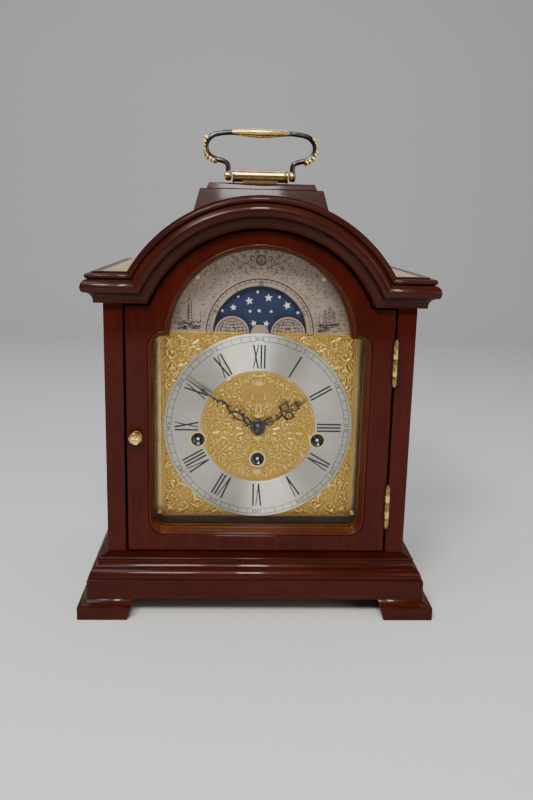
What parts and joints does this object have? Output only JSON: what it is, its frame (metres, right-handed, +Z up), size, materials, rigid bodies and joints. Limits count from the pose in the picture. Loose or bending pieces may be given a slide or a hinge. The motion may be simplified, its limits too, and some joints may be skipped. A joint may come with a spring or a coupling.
{
  "type": "mantel clock",
  "caption": "Break-arch mantel clock with glazed front door, moon-phase dial, carrying handle, bracket feet and a spring-driven chiming movement.",
  "frame": {"origin": "centre of the footprint, on the surface that the feet stand on", "axes": "+Z up, front of the clock towards -Y, +X to the right as seen from the front"},
  "size_m": [0.2742, 0.2092, 0.374],
  "materials": {
    "mahogany": "dark red-brown gloss lacquer",
    "raw_wood": "bare light brown wood",
    "back_wood": "satin dark stain",
    "black_wood": "matt black",
    "glass": "clear window glass",
    "brass": "polished",
    "dial_brass": "gilt, satin with raised relief",
    "ring_silver": "circular brushed silvering",
    "arch_silver": "engraved silvering",
    "moon_blue": "deep blue with stars",
    "black_steel": "blacked steel",
    "steel": "ground steel",
    "cast_iron": "as cast",
    "handle_metal": "antique brass, worn gilt high points"
  },
  "bodies": {
    "case": {"arch_moulding": "mahogany", "arched_roof": "mahogany", "back_frame": "back_wood", "base_moulding": "mahogany", "bottom_board": "raw_wood", "bracket_feet": "mahogany", "chapter_ring": "ring_silver", "chime_rods": "steel", "cornice_mouldings": "mahogany", "dial_plate": "dial_brass", "dial_relief_plates": "dial_brass", "dial_screws": "brass", "dial_surround": "black_wood", "front_arch_board": "mahogany", "gong_block": "cast_iron", "hammer_bracket": "brass", "handle_barrel": "handle_metal", "hinge_case_leaves": "brass", "moon_arch_plate": "arch_silver", "moon_bridge": "brass", "movement_back_plate": "brass", "movement_front_plate": "brass", "movement_pillars": "brass", "pedestal_block": "mahogany", "pedestal_cap": "mahogany", "seat_board": "raw_wood", "shoulder_boards": "raw_wood", "side_panels": "mahogany", "winding_grommets": "brass"},
    "front_door": {"door_frame": "mahogany", "door_sight_mouldings": "mahogany", "door_glass": "glass", "door_knob": "brass", "door_hinge_door_leaves": "brass"},
    "rear_door": {"rear_door": "back_wood", "rear_hinge_door_leaves": "brass"},
    "rear_latch": {"rear_latch": "brass"},
    "handle_bail": {"handle_bail": "handle_metal"},
    "minute_hand": {"minute_hand": "black_steel", "centre_arbor": "brass"},
    "hour_hand": {"hour_hand": "black_steel", "hour_wheel": "brass"},
    "minute_wheel": {"minute_wheel": "brass"},
    "moon_disc": {"moon_disc": "moon_blue"},
    "time_barrel": {"time_barrel": "brass"},
    "third_wheel": {"third_wheel": "brass"},
    "fourth_wheel": {"fourth_wheel": "brass"},
    "escape_wheel": {"escape_wheel": "brass"},
    "pallet_lever": {"pallet_lever": "steel"},
    "balance_wheel": {"balance_wheel": "brass"},
    "strike_barrel": {"strike_barrel": "brass"},
    "chime_barrel": {"chime_barrel": "brass"},
    "chime_drum": {"chime_drum": "brass"},
    "time_winding_arbor": {"time_winding_arbor": "steel"},
    "strike_winding_arbor": {"strike_winding_arbor": "steel"},
    "chime_winding_arbor": {"chime_winding_arbor": "steel"},
    "hammer_1": {"hammer_1": "brass"},
    "hammer_2": {"hammer_2": "brass"},
    "hammer_3": {"hammer_3": "brass"},
    "hammer_4": {"hammer_4": "brass"}
  },
  "joints": [
    {"name": "front_door_hinge", "type": "hinge", "parent": "case", "child": "front_door", "pos_m": [0.1007, -0.0851, 0.1], "axis": [0, 0, 1], "range_deg": [0, 125]},
    {"name": "rear_door_hinge", "type": "hinge", "parent": "case", "child": "rear_door", "pos_m": [0.0781, 0.1025, 0.15], "axis": [0, 0, -1], "range_deg": [0, 100]},
    {"name": "rear_latch_turn", "type": "hinge", "parent": "case", "child": "rear_latch", "pos_m": [-0.084, 0.104, 0.152], "axis": [0, 1, 0], "range_deg": [0, 90]},
    {"name": "handle_swing", "type": "hinge", "parent": "case", "child": "handle_bail", "pos_m": [0, 0.01, 0.3364], "axis": [1, 0, 0], "range_deg": [-80, 80]},
    {"name": "minute_hand_turn", "type": "hinge", "parent": "case", "child": "minute_hand", "pos_m": [0, -0.06, 0.1425], "axis": [0, -1, 0], "continuous": true},
    {"name": "hour_hand_turn", "type": "hinge", "parent": "case", "child": "hour_hand", "pos_m": [0, -0.06, 0.1425], "axis": [0, -1, 0], "continuous": true},
    {"name": "minute_wheel_turn", "type": "hinge", "parent": "case", "child": "minute_wheel", "pos_m": [0.012, -0.05, 0.1425], "axis": [0, -1, 0], "continuous": true},
    {"name": "moon_disc_turn", "type": "hinge", "parent": "case", "child": "moon_disc", "pos_m": [0, -0.0557, 0.217], "axis": [0, -1, 0], "continuous": true},
    {"name": "time_barrel_turn", "type": "hinge", "parent": "case", "child": "time_barrel", "pos_m": [0, -0.02, 0.1165], "axis": [0, -1, 0], "continuous": true},
    {"name": "third_wheel_turn", "type": "hinge", "parent": "case", "child": "third_wheel", "pos_m": [0.01125, -0.02, 0.16199], "axis": [0, -1, 0], "continuous": true},
    {"name": "fourth_wheel_turn", "type": "hinge", "parent": "case", "child": "fourth_wheel", "pos_m": [-0.00531, -0.02, 0.17155], "axis": [0, -1, 0], "continuous": true},
    {"name": "escape_wheel_turn", "type": "hinge", "parent": "case", "child": "escape_wheel", "pos_m": [-0.02185, -0.02, 0.17757], "axis": [0, -1, 0], "continuous": true},
    {"name": "pallet_lever_rock", "type": "hinge", "parent": "case", "child": "pallet_lever", "pos_m": [-0.03385, -0.02, 0.17757], "axis": [0, -1, 0], "range_deg": [-5, 5]},
    {"name": "balance_swing", "type": "hinge", "parent": "case", "child": "balance_wheel", "pos_m": [-0.04685, -0.025, 0.17757], "axis": [0, -1, 0], "range_deg": [-135, 135]},
    {"name": "strike_barrel_turn", "type": "hinge", "parent": "case", "child": "strike_barrel", "pos_m": [-0.0471, -0.02, 0.1322], "axis": [0, -1, 0], "continuous": true},
    {"name": "chime_barrel_turn", "type": "hinge", "parent": "case", "child": "chime_barrel", "pos_m": [0.0471, -0.02, 0.1322], "axis": [0, -1, 0], "continuous": true},
    {"name": "chime_drum_turn", "type": "hinge", "parent": "case", "child": "chime_drum", "pos_m": [0.0471, 0.01, 0.15812], "axis": [0, -1, 0], "continuous": true},
    {"name": "time_winding", "type": "hinge", "parent": "case", "child": "time_winding_arbor", "pos_m": [0, -0.05, 0.1165], "axis": [0, -1, 0], "continuous": true},
    {"name": "strike_winding", "type": "hinge", "parent": "case", "child": "strike_winding_arbor", "pos_m": [-0.0471, -0.05, 0.1322], "axis": [0, -1, 0], "continuous": true},
    {"name": "chime_winding", "type": "hinge", "parent": "case", "child": "chime_winding_arbor", "pos_m": [0.0471, -0.05, 0.1322], "axis": [0, -1, 0], "continuous": true},
    {"name": "hammer_1_lift", "type": "hinge", "parent": "case", "child": "hammer_1", "pos_m": [0.04, 0.012, 0.108], "axis": [0, -1, 0], "range_deg": [-22, 0]},
    {"name": "hammer_2_lift", "type": "hinge", "parent": "case", "child": "hammer_2", "pos_m": [0.04, 0.021, 0.108], "axis": [0, -1, 0], "range_deg": [-22, 0]},
    {"name": "hammer_3_lift", "type": "hinge", "parent": "case", "child": "hammer_3", "pos_m": [0.04, 0.03, 0.108], "axis": [0, -1, 0], "range_deg": [-22, 0]},
    {"name": "hammer_4_lift", "type": "hinge", "parent": "case", "child": "hammer_4", "pos_m": [0.04, 0.039, 0.108], "axis": [0, -1, 0], "range_deg": [-22, 0]}
  ],
  "couplings": [
    {"joint": "hour_hand_turn", "follows": "minute_hand_turn", "ratio": 0.083333},
    {"joint": "minute_wheel_turn", "follows": "minute_hand_turn", "ratio": -0.33333},
    {"joint": "time_barrel_turn", "follows": "minute_hand_turn", "ratio": -0.14286},
    {"joint": "third_wheel_turn", "follows": "minute_hand_turn", "ratio": -8},
    {"joint": "fourth_wheel_turn", "follows": "minute_hand_turn", "ratio": 60},
    {"joint": "escape_wheel_turn", "follows": "minute_hand_turn", "ratio": -600},
    {"joint": "chime_drum_turn", "follows": "chime_barrel_turn", "ratio": -5}
  ]
}
